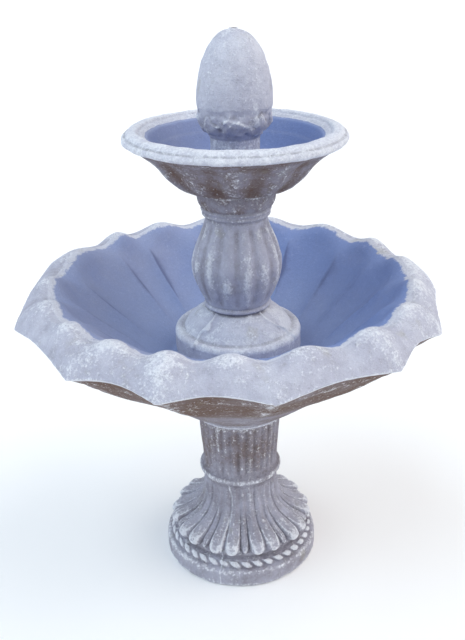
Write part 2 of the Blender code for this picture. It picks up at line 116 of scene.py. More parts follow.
def ramp(value, low, high):
    """0 below low, 1 above high, and a smooth rise between them."""
    share = np.clip((value - low) / (high - low), 0, 1)
    return share * share * (3 - 2 * share)


def hump(value, low, peak, high):
    """1 at peak, falling smoothly to 0 at low and at high."""
    return np.where(value < peak, ramp(value, low, peak), 1 - ramp(value, peak, high))


def line(distance, width):
    """1 on a line, fading to 0 a little over its width away from it."""
    return np.exp(-(distance / width) ** 2)


def share_between(angle, marks):
    """How far each angle lies from one mark (0) to the next (1), for marks in degrees."""
    degrees = np.degrees(angle) % 360
    edges = np.array([marks[-1] - 360, *marks, marks[0] + 360])
    slot = np.searchsorted(edges, degrees, side="right") - 1
    return (degrees - edges[slot]) / (edges[slot + 1] - edges[slot])


def repeat(angle, count):
    """-1 to 1 across each of count equal sectors; the first one starts at angle 0."""
    return 2 * ((angle * count / math.tau) % 1) - 1


def from_angle(angle, degrees):
    """The signed angle in radians from a direction given in degrees."""
    return (angle - math.radians(degrees) + math.pi) % math.tau - math.pi


def lumps(points, size, seed):
    """Smooth random values from 0 to 1, with hills and hollows about size across."""
    cells = 32
    lattice = np.random.default_rng(seed).random((cells, cells, cells))
    scaled = points / size
    low = np.floor(scaled).astype(int)
    part = scaled - low
    part = part * part * (3 - 2 * part)
    total = np.zeros(points.shape[:-1])
    for corner in np.ndindex(2, 2, 2):
        weight = np.prod(np.where(corner, part, 1 - part), axis=-1)
        total += weight * lattice[tuple(((low + corner) % cells)[..., i] for i in range(3))]
    return total


# ---------------------------------------------------------------- cast stone as a carved surface

class Casting:
    """A turned surface held as grids, one row for each outline point and one column for each angle.

    tone is how brown the stone is, and on undersides painted shade as well; lime how white it has
    grown, and painted highlights as well; dirt how dark, and painted shade in grooves, creases and
    under overhangs as well; and paint how much paint covers it. These are added up and may pass 0
    or 1; the material limits them. worn is how much the surface has weathered, from 0 to 1.
    """

    def __init__(self, name, stretches, columns, closed=True):
        rows = np.concatenate(stretches)
        self.name = name
        self.closed = closed
        self.radius, self.height, self.part, self.along = (
            np.repeat(rows[:, i:i + 1], columns, axis=1) for i in range(4))
        self.angle = np.broadcast_to(np.arange(columns) * math.tau / columns, self.radius.shape)
        self.across = np.zeros(self.radius.shape)
        self.tone, self.lime, self.paint, self.dirt_and_shade = (
            np.zeros(self.radius.shape) for _ in range(4))
        self.worn = np.ones(self.radius.shape)
        steps = np.gradient(rows[:, :2], axis=0)
        steps /= np.maximum(np.hypot(*steps.T), 1e-9)[:, None]
        self.out_radius = np.repeat(-steps[:, 1:2], columns, axis=1)
        self.out_height = np.repeat(steps[:, 0:1], columns, axis=1)

    def on(self, *parts):
        return np.isin(self.part, parts)

    def push(self, distance):
        """Move the surface outwards, square to its outline."""
        self.radius = self.radius + distance * self.out_radius
        self.height = self.height + distance * self.out_height

    def shifted(self, grid, rows):
        """The grid moved along the outline, wrapping round only if the outline is closed."""
        if self.closed:
            return np.roll(grid, rows, axis=0)
        place = np.clip(np.arange(len(grid)) - rows, 0, len(grid) - 1)
        return grid[place]

    def points(self):
        return np.stack([self.radius * np.cos(self.angle) + self.across,
                         self.radius * np.sin(self.angle), self.height], axis=2)

    def normals(self, points):
        down = self.shifted(points, -1) - self.shifted(points, 1)
        round_axis = np.roll(points, -1, axis=1) - np.roll(points, 1, axis=1)
        normals = np.cross(down, round_axis)
        return normals / np.maximum(np.linalg.norm(normals, axis=2, keepdims=True), 1e-12)

    def relief(self, points, normals, reach):
        """How far each point stands proud of the points a few steps away on all sides."""
        sides = (np.roll(points, reach, axis=1) + np.roll(points, -reach, axis=1)
                 + self.shifted(points, reach) + self.shifted(points, -reach)) / 4
        return np.sum((points - sides) * normals, axis=2)

    def weathered(self, seed):
        """The final points, and how strongly each one is an edge and a hollow."""
        points = self.points()
        normals = self.normals(points)
        edge = np.clip(self.relief(points, normals, NEAR) / 0.0010, 0, 1)
        wear = (0.0012 * lumps(points, 0.055, seed) + 0.0008 * lumps(points, 0.019, seed + 1)
                + 0.0005 * lumps(points, 0.0085, seed + 2)
                + 0.0016 * edge * ramp(lumps(points, 0.013, seed + 3), 0.45, 0.8))
        points = points - normals * (wear * self.worn)[..., None]
        normals = self.normals(points)
        fine = self.relief(points, normals, NEAR)
        broad = self.relief(points, normals, FAR)
        # The material whitens proud points as wear and painted highlight, and darkens hollows as
        # dirt and painted shade.
        proud_and_highlight = np.clip(fine / 0.0009, 0, 1) * 0.6 + np.clip(broad / 0.0035, 0, 1) * 0.5
        hollow = np.clip(-fine / 0.0006, 0, 1) * 0.6 + np.clip(-broad / 0.0022, 0, 1) * 0.6
        return points, np.clip(proud_and_highlight, 0, 1) * self.worn, np.clip(hollow, 0, 1) * self.worn

    def made(self, body, surface, seed, cutters=()):
        """Build the piece in place of the CAD node of the same name."""
        points, proud_and_highlight, hollow = self.weathered(seed)
        index = np.arange(points[..., 0].size).reshape(points.shape[:2])
        upper = index if self.closed else index[:-1]
        lower = np.roll(index, -1, axis=0) if self.closed else index[1:]
        quads = np.stack([upper, lower, np.roll(lower, -1, axis=1), np.roll(upper, -1, axis=1)],
                         axis=2).reshape(-1, 4)
        mesh = bpy.data.meshes.new(self.name)
        mesh.from_pydata(points.reshape(-1, 3), [], quads)
        blank = np.zeros(proud_and_highlight.shape)
        # weather holds weathering together with painted light: highlights on proud edges and lit
        # faces, shade in hollows and creases.
        for name, channels in (("weather_and_shading", (proud_and_highlight, hollow, self.lime, self.dirt_and_shade)),
                               ("finish", (self.tone, self.paint, blank, blank))):
            layer = mesh.color_attributes.new(name, "FLOAT_COLOR", "POINT")
            layer.data.foreach_set("color", np.stack(channels, axis=2).astype(np.float32).ravel())
        if not self.closed:
            close_ends(mesh, index)
        for cutter in cutters:
            mesh = cut(mesh, cutter)
        mesh.shade_smooth()
        mesh.set_sharp_from_angle(angle=math.radians(SHARP_ANGLE))
        mesh.materials.clear()
        mesh.materials.append(surface)
        piece = bpy.data.objects.new(f"{self.name}_stone", mesh)
        bpy.context.scene.collection.objects.link(piece)
        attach(piece, body)
        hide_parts(self.name)
        return piece


def close_ends(mesh, index):
    """Join the first and last rows, which lie on the axis, into one point each."""
    form = bmesh.new()
    form.from_mesh(mesh)
    form.verts.ensure_lookup_table()
    ends = [[form.verts[i] for i in row] for row in (index[0], index[-1])]
    for end in ends:
        bmesh.ops.pointmerge(form, verts=end, merge_co=end[0].co)
    bmesh.ops.dissolve_degenerate(form, edges=form.edges, dist=1e-7)
    form.to_mesh(mesh)
    form.free()


def cut(mesh, cutter):
    """The mesh with a box or a rod, given as a form and its size and place, cut out of it."""
    shape, size, place = cutter
    form = bmesh.new()
    if shape == "box":
        bmesh.ops.create_cube(form, size=1)
    else:
        bmesh.ops.create_cone(form, cap_ends=True, segments=32, radius1=1, radius2=1, depth=1)
    bmesh.ops.scale(form, vec=size, verts=form.verts)
    tool_mesh = bpy.data.meshes.new("cutter")
    form.to_mesh(tool_mesh)
    form.free()
    tool = bpy.data.objects.new("cutter", tool_mesh)
    tool.location = place
    block = bpy.data.objects.new("block", mesh)
    for item in (tool, block):
        bpy.context.scene.collection.objects.link(item)
    change = block.modifiers.new("cut", "BOOLEAN")
    change.operation = "DIFFERENCE"
    change.solver = "EXACT"
    change.object = tool
    bpy.context.view_layer.update()
    seen = block.evaluated_get(bpy.context.evaluated_depsgraph_get())
    result = bpy.data.meshes.new_from_object(seen)
    for item in (tool, block):
        bpy.data.objects.remove(item, do_unlink=True)
    return result


# ---------------------------------------------------------------- the five castings

def base_pedestal(surface):
    column, collar, skirt, tips, ledge, rope, plinth, hollow = range(8)
    low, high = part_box("base_pedestal")
    waist = 0.0762
    rope_ring, rope_height, rope_size = 0.1395, 0.0430, 0.0078
    edge = 0.008
    lobe_middle = 0.40          # of the way from a leaf's middle to the middle of the next gap
    small_leaf = 0.79           # from here on a small leaf fills the gap
    small_width = 0.22          # from the small leaf's middle to where its edge would end
    tips_from = 0.88            # the share of a leaf's length that lies on the skirt
    tip_arc = arc(0.136, 0.071, 0.008, 50, -90)
    rope_arc = arc(rope_ring, rope_height, rope_size, 85, -50)
    casting = Casting("base_pedestal", [
        stretch(smooth([(0.082, high.z), (0.081, 0.290), (waist + 0.001, 0.240),
                        (waist, 0.206)]), column, 0.0030),
        stretch(arc(waist, 0.194, 0.0078, 72, -75), collar, 0.0012),
        stretch(smooth([(waist - 0.001, 0.179), (0.0775, 0.139), (0.095, 0.107),
                        (0.138, 0.081)]), skirt, 0.0020),
        stretch(tip_arc, tips, 0.0012),
        stretch([tip_arc[-1], (0.1320, 0.0530), rope_arc[0]], ledge, 0.0020),
        stretch(rope_arc, rope, 0.0010),
        stretch(np.concatenate([[rope_arc[-1]], arc(high.x - edge, 0.036 - edge, edge, 90, 0),
                                [(high.x, 0.003), (high.x - 0.003, low.z)]]), plinth, 0.0022),
        stretch([(high.x - 0.003, low.z), (0.118, low.z), (0.115, 0.028), (0.050, 0.120),
                 (0.050, 0.270), (0.057, high.z), (0.082, high.z)], hollow, 0.0140)[1:-1],
    ], 48 * LEAVES)
    turned = casting.angle - math.radians(LEAF_DIRECTION)
    uneven = lumps(casting.points(), 0.030, 3)

    reed = np.abs(repeat(turned, 3 * LEAVES))
    reeds = casting.on(column) * ramp(casting.along, 0.02, 0.10)
    reeds = reeds * (1 - ramp(casting.along, 0.90, 1))
    casting.push(reeds * (0.4 + 1.2 * uneven) * (0.0006 * line(reed, 0.30)
                                                 - 0.0024 * line(1 - reed, 0.30)))

    beside = np.abs(repeat(turned + math.pi / LEAVES, LEAVES))
    in_small = beside > small_leaf
    side = (beside - lobe_middle) / lobe_middle
    lobe = np.minimum(np.where(in_small, (1 - beside) / small_width, np.abs(side)), 1)
    down = np.where(casting.on(skirt), casting.along * tips_from, 0) + np.where(
        casting.on(tips), tips_from + (1 - tips_from) * casting.along, 0)
    is_leaf = casting.on(skirt, tips)
    grown = ramp(down, 0.20, 0.82)
    groove_depth = np.where(side < 0, 0.0024, 0.0062)
    veins = line(np.abs(side) - 0.30 - 0.18 * down, 0.09) * ~in_small
    veins = veins * (1 - ramp(down, 0.76, tips_from))
    casting.push(is_leaf * ((0.0014 + groove_depth * grown) * (np.sqrt(1 - lobe ** 2.6) - 1)
                            - 0.0040 * grown * in_small * (1 - 0.35 * ramp(down, 0.70, tips_from))
                            - 0.0009 * veins))
    tip = np.clip((down - 0.72) / 0.26, 0, 1)
    border = line(np.hypot(lobe, tip) - 0.82, 0.13) * is_leaf * grown
    casting.push(0.0012 * border)
    upper = is_leaf * ramp(down, 0.01, 0.10) * (1 - ramp(down, 0.45, 0.75))
    casting.push(upper * (0.0010 * line(reed, 0.34) - 0.0016 * line(1 - reed, 0.28)))
    casting.lime += 0.22 * upper * line(reed - 0.10, 0.12) * ramp(uneven, 0.35, 0.7)
    # Painted highlight: the leaves' bulging rims and tips are whitened as if lit from above.
    casting.lime += 0.34 * border * (0.4 + 1.2 * uneven) + 0.20 * is_leaf * tip * (1 - in_small)
    scallop = 1 - np.sqrt(1 - 0.93 * lobe ** 3)
    swell = is_leaf * (1 - lobe ** 2) * hump(down, 0.50, 0.86, 1.02) * (1 - 0.6 * in_small)
    casting.push(0.0038 * swell)
    pull = scallop * np.where(side < 0, 0.55, 1.0) * ramp(down, 0.64, 0.92) * is_leaf
    casting.radius = casting.radius - 0.0110 * pull - 0.0030 * in_small * tip * is_leaf
    casting.height = casting.height + 0.0088 * pull

    slant = np.degrees(np.arctan2(casting.height - rope_height, casting.radius - rope_ring))
    strand = (casting.angle * STRANDS / math.tau + slant / 300) % 1
    kept = np.clip(0.30 + 0.70 * ramp(from_angle(casting.angle, -106), -0.12, 0.22)
                   * (1 - ramp(from_angle(casting.angle, 20), -0.05, 0.3)) + 0.5 * ramp(
                       from_angle(casting.angle, 75), 0, 0.4), 0, 1)
    groove = 1 - np.sin(math.pi * strand) ** 0.55
    on_rope = casting.on(rope)
    casting.push((0.0016 - 0.0066 * groove) * kept * on_rope)
    # Painted light on the rope: its grooves are kept less dark, and the upper, outward side of each
    # strand is whitened as a highlight.
    casting.dirt_and_shade -= on_rope * 0.25 * kept * groove
    casting.lime += on_rope * ramp(1 - groove, 0.35, 0.80) * 0.85 * ramp(kept, 0.3, 0.9) * (
        hump(slant, -60, 35, 110))

    for degrees, wander in ((-105, 0.014), (75, 0.012)):
        off = from_angle(casting.angle, degrees) + wander * np.sin(casting.height * 38) + (
            0.10 * (uneven - 0.5))
        seam = line(off * casting.radius, 0.0019) * casting.on(skirt, tips, ledge, rope, plinth)
        casting.push(0.0010 * seam)
        casting.lime += 0.55 * seam * ramp(uneven, 0.25, 0.6)
    casting.lime += 0.22 * casting.on(column) * line(reed - 0.12, 0.12) * ramp(uneven, 0.3, 0.7)
    casting.lime += 0.26 * (uneven - 0.5) * casting.on(plinth, ledge)
    # Painted highlight along the upper side of the collar bead.
    casting.lime += 0.30 * casting.on(collar) * hump(casting.along, 0, 0.4, 0.9)
    # Painted shade on the ledge under the overhanging leaf tips.
    casting.dirt_and_shade += 0.22 * casting.on(ledge) * (1 - 0.5 * casting.along)
    # The stone's tone, browner toward the top of the column under the basin as painted shade.
    casting.tone += 0.48 + 0.22 * ramp(casting.height, 0.13, 0.28)
    casting.worn = casting.worn * (1 - casting.on(hollow))
    notch = ("box", (0.036, 0.070, 0.036), (0, 0.135, 0.008))
    return casting.made("base", surface, 11, [notch])


def lower_basin(surface):
    pool, lip, under, foot = range(4)
    low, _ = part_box("lower_basin")
    floor, floor_radius = 0.451, 0.128
    crest_radius, crest_height = 0.333, 0.606
    lip_radius, lip_height = 0.397, 0.557
    spigot, spigot_bore, seat = 0.054, 0.046, 0.326
    petal_depth, petal_arch, crest_wave, flute_depth = 0.045, 0.012, 0.008, 0.016
    casting = Casting("lower_basin", [
        stretch([(0, floor), (floor_radius, floor)], pool, 0.0120),
        stretch(smooth([(floor_radius, floor), (0.180, 0.478), (0.250, 0.538), (0.306, 0.593),
                        (crest_radius, crest_height)]), pool, 0.0046)[1:],
        stretch(smooth([(crest_radius, crest_height), (0.352, 0.604), (0.378, 0.587),
                        (lip_radius, lip_height)]), lip, 0.0026)[1:],
        stretch([(lip_radius, lip_height), (0.3965, 0.5545), (0.3925, 0.5520),
                 (0.388, 0.5500)], under, 0.0014)[1:],
        stretch([(0.388, 0.550), (0.362, 0.532), (0.325, 0.501), (0.290, 0.474),
                 (0.200, 0.414), (0.140, 0.366), (0.1165, 0.3480)], under, 0.0052)[1:],
        stretch(smooth([(0.1165, 0.3480), (0.1125, 0.3468), (0.1085, 0.3430), (0.1020, 0.3395),
                        (0.0975, 0.3385), (0.0965, 0.3355), (0.0950, 0.3295),
                        (0.091, seat)]), foot, 0.0013)[1:],
        stretch([(0.091, seat), (spigot, seat), (spigot, low.z), (spigot_bore, low.z),
                 (spigot_bore, 0.405), (0.038, 0.415), (0, 0.415)], foot, 0.0140)[1:],
    ], 440, closed=False)
    petal = share_between(casting.angle, PETAL_EDGES)
    arch = np.sin(math.pi * petal)
    flute = share_between(casting.angle, RIBS)
    radius, height = casting.radius.copy(), casting.height.copy()
    inside = casting.on(pool)
    above_seat = height > seat + 0.0002
    in_flutes = inside * ramp(height, 0.456, 0.500) * (1 - ramp(height, 0.575, crest_height))
    scoop = (np.sin(math.pi * flute) ** 0.75 - 0.6) * in_flutes
    casting.radius = casting.radius + flute_depth * scoop
    crest = hump(radius, 0.270, crest_radius, lip_radius) * (height > 0.570)
    casting.height = casting.height - crest_wave * np.cos(math.tau * flute) * crest
    near_lip = ramp(radius, 0.370, lip_radius) * (height > 0.5)
    casting.height = casting.height + petal_arch * arch * near_lip
    drawn_in = np.where(casting.on(under), ramp(radius, 0.130, 0.345),
                        ramp(radius, 0.320, lip_radius))
    casting.radius = casting.radius * (1 - petal_depth * arch * drawn_in)
    casting.across = -0.014 * ramp(radius, 0.10, lip_radius)

    on_lip = casting.on(lip)
    casting.push(0.0012 * on_lip * hump(casting.along, 0.05, 0.5, 0.98)
                 * np.cos(math.tau * (flute - 0.5)))
    casting.push(-0.0008 * on_lip * line((casting.along - 0.93) / 0.035, 1.0))
    bottom_edge = casting.on(under) * (radius > 0.3915)
    ring = casting.on(foot) * above_seat
    casting.lime += 0.55 * bottom_edge + 0.20 * on_lip * line(from_angle(casting.angle, -118), 0.5)
    # Painted highlights: pale lines along two edges of the foot ring, on a slightly paler ring.
    casting.lime += ring * (0.12 + 0.35 * line((height - 0.3290) / 0.0022, 1)
                            + 0.30 * line((height - 0.3460) / 0.0016, 1))
    underneath = casting.on(under) * (1 - bottom_edge)
    # The underside and the foot are browned as painted shade and warm bounce under the basin; the
    # lip's tone is the stone's own.
    casting.tone += 0.28 * on_lip + (0.72 + 0.22 * ramp(height, 0.405, 0.480)) * underneath
    casting.tone += 0.46 * casting.on(foot)
    casting.dirt_and_shade += 0.30 * underneath * line((height - 0.472) / 0.010, 1)
    casting.lime -= 0.10 * on_lip * ramp(casting.along, 0.20, 0.50)
    # Painted light: the lip is whitened on its right, where the light falls.
    casting.lime += 0.34 * on_lip * line(from_angle(casting.angle, 4), 0.75)
    # Painted shade beside the ribs inside the pool: dark on one side of each rib, varied from rib
    # to rib and stronger towards the left.
    rib_shade = np.exp((flute - 1) / 0.11) + 0.5 * line(np.minimum(flute, 1 - flute), 0.045)
    rib_shade = rib_shade * in_flutes * (1 - ramp(height, 0.535, 0.604)) * ramp(height, 0.470, 0.540)
    strength = lumps(np.stack([flute * 0, casting.angle * 0.5, height * 0], axis=2), 0.16, 8)
    more_shade_left = line(from_angle(casting.angle, 128), 0.60)
    casting.dirt_and_shade += rib_shade * (0.40 + 0.8 * ramp(strength, 0.35, 0.65) + 0.9 * more_shade_left)
    # Painted highlight on the other side of each rib.
    casting.lime += 0.12 * np.exp(-flute / 0.12) * in_flutes
    casting.paint += inside * (1 - ramp(height, 0.594, 0.611))
    casting.worn = np.where(inside, 0.35, np.where(on_lip, 0.75, 1.0)) * (above_seat | inside)
    drain = ("rod", (0.009, 0.009, 0.08), (0, 0.036, 0.43))
    return casting.made("basin", surface, 23, [drain])


def upper_pedestal(surface):
    capital, mouldings, baluster, bead, dome, rim, side, hollow = range(8)
    low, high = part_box("upper_pedestal")
    outer = 0.1205
    first = arc(0.0610, 0.7375, 0.0036, 70, -60)
    second = arc(0.0590, 0.7290, 0.0036, 60, -75)
    bead_arc = arc(0.0585, 0.5550, 0.0052, 70, -85)
    rim_arc = arc(outer - 0.010, 0.5000, 0.010, 112, 0)
    casting = Casting("upper_pedestal", [
        stretch(smooth([(0.0715, high.z), (0.0715, 0.7640), (0.0700, 0.7520),
                        (0.0650, 0.7420)]), capital, 0.0018),
        stretch(np.concatenate([first, second]), mouldings, 0.0009),
        stretch(smooth([(0.0562, 0.7225), (0.0600, 0.7050), (0.0755, 0.6670), (0.083, 0.6340),
                        (0.0782, 0.6000), (0.0620, 0.5620)]), baluster, 0.0022),
        stretch(bead_arc, bead, 0.0010),
        stretch(smooth([(0.0585, 0.5485), (0.0720, 0.5420), (0.0900, 0.5270), (0.1005, 0.5130),
                        (0.1030, 0.5085)]), dome, 0.0018),
        stretch(rim_arc, rim, 0.0012),
        stretch([(outer, 0.500), (outer, 0.468), (outer - 0.003, low.z)], side, 0.0026)[1:],
        stretch([(outer - 0.003, low.z), (0.096, low.z), (0.094, 0.480), (0.074, 0.508),
                 (0.038, 0.532), (0.046, 0.610), (0.032, 0.700), (0.032, high.z),
                 (0.0715, high.z)], hollow, 0.0120)[1:-1],
    ], 24 * GADROONS)
    height = casting.height
    uneven = lumps(casting.points(), 0.022, 9)
    lobe = (0.5 + 0.5 * np.cos(GADROONS * casting.angle)) ** 0.65
    body = casting.on(baluster) * ramp(height, 0.562, 0.574) * (1 - ramp(height, 0.704, 0.721))
    casting.radius = casting.radius + 0.0044 * body * (lobe - 0.70) * (0.3 + 1.3 * uneven)
    casting.lime += 0.40 * body * ramp(lobe, 0.45, 1.0) * ramp(uneven, 0.3, 0.7)
    casting.tone += 0.20 * body * (1 - ramp(lobe, 0.10, 0.60)) * ramp(uneven, 0.8, 0.3)
    casting.dirt_and_shade -= 0.24 * body * (1 - lobe)
    casting.push(0.0030 * (uneven - 0.5) * casting.on(capital))

    for degrees, end in ((-129, -137), (-45, -28), (50, 62), (131, 118)):
        share = ramp(0.552 - height, 0, 0.050)
        bend = 0.16 * (lumps(casting.points(), 0.017, 15) - 0.5)
        off = from_angle(casting.angle, degrees) - share * math.radians(end - degrees) + bend
        vein = line(off * casting.radius, 0.0030) * casting.on(dome, rim)
        beside_vein = line(off * casting.radius, 0.0100) * casting.on(dome, rim) - vein
        casting.push(0.0034 * vein * (0.4 + uneven))
        casting.lime += 1.1 * vein - 0.30 * beside_vein
        casting.tone += 0.14 * beside_vein
    # Painted shade: dark lines in the grooves under the mouldings, under the bead and where the
    # dome meets the rim.
    casting.dirt_and_shade += 0.18 * line((height - 0.7235) / 0.0030, 1) * casting.on(baluster)
    casting.dirt_and_shade += 0.40 * line((height - 0.5490) / 0.0026, 1) * casting.on(bead, dome)
    casting.dirt_and_shade += 0.10 * line((casting.along - 1) / 0.06, 1) * casting.on(dome)
    # Painted highlight along the dome's outer edge.
    casting.lime += 0.25 * line((casting.along - 0.86) / 0.10, 1) * casting.on(dome)
    casting.tone += 0.30 * (uneven - 0.5) * casting.on(capital, baluster, dome)
    casting.lime += 0.50 * (uneven - 0.5) * casting.on(capital, baluster)
    # Browner toward the top, under the bowl: partly the stone's own tone, partly painted shade.
    casting.tone += (0.70 * casting.on(capital) + 0.46 * casting.on(mouldings)
                     + 0.34 * casting.on(baluster, bead) + 0.10 * casting.on(dome, rim)
                     + 0.26 * casting.on(side))
    casting.lime += (0.14 * casting.on(mouldings) + 0.10 * casting.on(bead, dome)
                     + 0.24 * casting.on(rim) + 0.70 * (uneven - 0.5) * casting.on(dome, rim))
    # Painted light: the foot is whitened on its front right, where the light falls.
    casting.lime += 0.26 * casting.on(dome, rim, side) * line(from_angle(casting.angle, -25), 0.7)
    casting.worn = casting.worn * (1 - casting.on(hollow))
    inlet = ("box", (0.044, 0.050, 0.038), (0, 0.105, 0.459))
    return casting.made("column", surface, 37, [inlet])


def upper_bowl(surface):
    rim, bead, body, under, pool, ledge = range(6)
    low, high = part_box("upper_bowl")
    floor, hole = 0.800, 0.014
    bead_arc = arc(0.1890, 0.8655, 0.0080, 66, -80)
    casting = Casting("upper_bowl", [
        stretch(smooth([(0.158, 0.8735), (0.1605, 0.8752), (0.1645, 0.8765)]), ledge, 0.0018),
        stretch(smooth([(0.1645, 0.8765), (0.1680, 0.8803), (0.1735, high.z), (0.1830, 0.8802),
                        (0.1885, 0.8760), (0.1900, 0.8728)]), rim, 0.0014)[1:],
        stretch(bead_arc, bead, 0.0011),
        stretch(smooth([(0.1870, 0.8572), (0.1800, 0.8520), (0.1650, 0.8420), (0.1490, 0.8280),
                        (0.1290, 0.8030), (0.1060, 0.7830), (0.1010, 0.7800)]), body, 0.0022),
        stretch([(0.1010, 0.7800), (0.0700, low.z), (hole, low.z), (hole, floor),
                 (0.078, floor)], under, 0.0080)[1:-1],
        stretch(smooth([(0.0780, floor), (0.1200, 0.8180), (0.1500, 0.8680)]), pool, 0.0034),
        stretch([(0.1500, 0.8680), (0.158, 0.8735)], ledge, 0.0022)[1:-1],
    ], 30 * BOWL_FLUTES)
    height = casting.height
    uneven = lumps(casting.points(), 0.026, 19)
    lobe = (0.5 + 0.5 * np.cos(BOWL_FLUTES * casting.angle)) ** 0.75
    carved = casting.on(body) * ramp(height, 0.7805, 0.7870) * (1 - ramp(height, 0.8440, 0.8530))
    casting.radius = casting.radius + 0.0085 * (lobe - 0.78) * carved
    casting.lime += 0.20 * carved * ramp(lobe, 0.6, 1.0) * ramp(uneven, 0.3, 0.7)
    casting.tone += 0.12 * carved * (1 - ramp(lobe, 0.10, 0.60))
    casting.push(0.0016 * (uneven - 0.5) * casting.on(rim, bead))
    # Painted shade: dark lines in the groove between rim and bead and under the bead.
    casting.dirt_and_shade += 0.34 * line((height - 0.8728) / 0.0026, 1) * casting.on(rim, bead)
    casting.dirt_and_shade += 0.30 * line((height - 0.8572) / 0.0030, 1) * casting.on(bead, body)
    casting.lime += (0.34 + 0.30 * (uneven - 0.5)) * casting.on(rim, bead)
    casting.lime -= 0.40 * line((height - 0.7800) / 0.004, 1) * casting.on(body, under)
    bottom = casting.on(under) * (height > floor - 0.001) * (casting.radius > hole)
    # The fluted outside and the underside are browned as painted shade and warm bounce; the rim's
    # small tone is the stone's own.
    casting.tone += 0.75 * casting.on(body, under) + 0.04 * casting.on(rim, bead)
    casting.paint += bottom + casting.on(pool)
    casting.paint += casting.on(ledge) * (1 - ramp(height, 0.8690, 0.8730))
    casting.lime += 0.20 * line((height - 0.846) / 0.004, 1) * casting.on(pool)
    casting.lime += 0.22 * casting.on(ledge)
    # Painted shadow: a dark line where the pool meets the ledge under the rim.
    casting.dirt_and_shade += 0.30 * line((height - 0.8680) / 0.0025, 1) * casting.on(pool, ledge)
    casting.worn = np.where(casting.on(pool), 0.35, 1.0) * ~casting.on(under) + 0.2 * bottom
    return casting.made("bowl", surface, 53)


def finial(surface):
    egg, cup, neck, hollow = range(4)
    low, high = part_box("finial")
    bore, egg_radius, middle, neck_radius = 0.0064, 0.0662, 0.924, 0.0445
    turns = np.linspace(0.10, math.pi / 2, 60)
    top = high.z - 0.0006       # room for the relief, so that the crown stays in the CAD's box
    crown = np.column_stack([egg_radius * np.sin(turns) ** 0.92,
                             middle + (top - middle) * np.cos(turns)])
    casting = Casting("finial", [
        stretch(np.concatenate([[(bore, top)], crown]), egg, 0.0022),
        stretch(smooth([(egg_radius, middle), (0.0656, 0.9030), (0.0612, 0.8860),
                        (0.0545, 0.8755), (0.0490, 0.8690), (neck_radius, 0.8650)]), cup,
                0.0011)[1:],
        stretch([(neck_radius, 0.8655), (neck_radius, 0.8200), (0.0455, low.z)], neck, 0.0022)[1:],
        stretch([(0.0455, low.z), (0.0185, low.z), (0.0185, 0.850), (bore, 0.862),
                 (bore, top)], hollow, 0.0100)[1:-1],
    ], 36 * FINIAL_LEAVES)
    height = casting.height
    coarse = lumps(casting.points(), 0.017, 5)
    rough = lumps(casting.points(), 0.009, 6)
    leaf = repeat(casting.angle + math.pi / FINIAL_LEAVES + 0.25 * (coarse - 0.5), FINIAL_LEAVES)
    beside = np.abs(leaf)
    leaf_top = 0.896 - 0.016 * beside ** 2.4 + 0.034 * (coarse - 0.35)
    raised = ramp(leaf_top - height, -0.0020, 0.0050) * ramp(height, 0.866, 0.876)
    on_cup = casting.on(cup)
    casting.push(on_cup * ramp(0.920 - height, 0, 0.012) * ramp(height, 0.866, 0.872) * (
        -0.0026 + raised * (0.0046 - 0.0026 * beside ** 2) + 0.0052 * (rough - 0.5)))
    creases = -0.0016 * line(1 - beside, 0.22) - 0.0006 * line(beside, 0.14)
    casting.push(on_cup * raised * creases)
    # Painted light on the leaf cup: highlights along the leaves' top edges, shade just above those
    # edges and between the leaves, and less shade at the foot of the cup.
    casting.lime += on_cup * 0.50 * line(height - leaf_top + 0.0030, 0.0055) * ramp(
        rough, 0.45, 0.75)
    casting.dirt_and_shade += on_cup * (0.16 * line(height - leaf_top - 0.0030, 0.0040)
                              + 0.20 * raised * line(1 - beside, 0.30) * ramp(rough, 0.7, 0.3)
                              - 0.10 * (1 - ramp(height, 0.867, 0.882)))
    casting.push(0.0016 * (rough - 0.5) * casting.on(egg))
    across = from_angle(casting.angle, -56) + 0.06 * np.sin(height * 90) + 0.3 * (coarse - 0.5)
    streak = line(across * 0.06, 0.0065) * ramp(rough, 0.25, 0.6)
    casting.lime += 0.40 * streak * casting.on(egg, cup) * hump(height, 0.878, 0.915, 0.990)
    crown_streak = line(from_angle(casting.angle, -76) * 0.05, 0.0040)
    crown_streak = crown_streak * hump(height, 0.93, 0.99, 1.04)
    casting.lime += 0.22 * crown_streak * ramp(coarse, 0.2, 0.6) * casting.on(egg)
    # Painted light: the neck is whitened against the shade under the cup, and the egg has a painted
    # highlight on its front left.
    casting.lime += 0.40 * casting.on(neck) + 0.10 * casting.on(egg) * line(
        from_angle(casting.angle, -150), 0.7)
    casting.tone += 0.18 + 0.22 * (1 - ramp(height, 0.885, 0.915))
    casting.worn = casting.worn * (1 - casting.on(hollow))
    return casting.made("finial", surface, 71)


# ---------------------------------------------------------------- materials

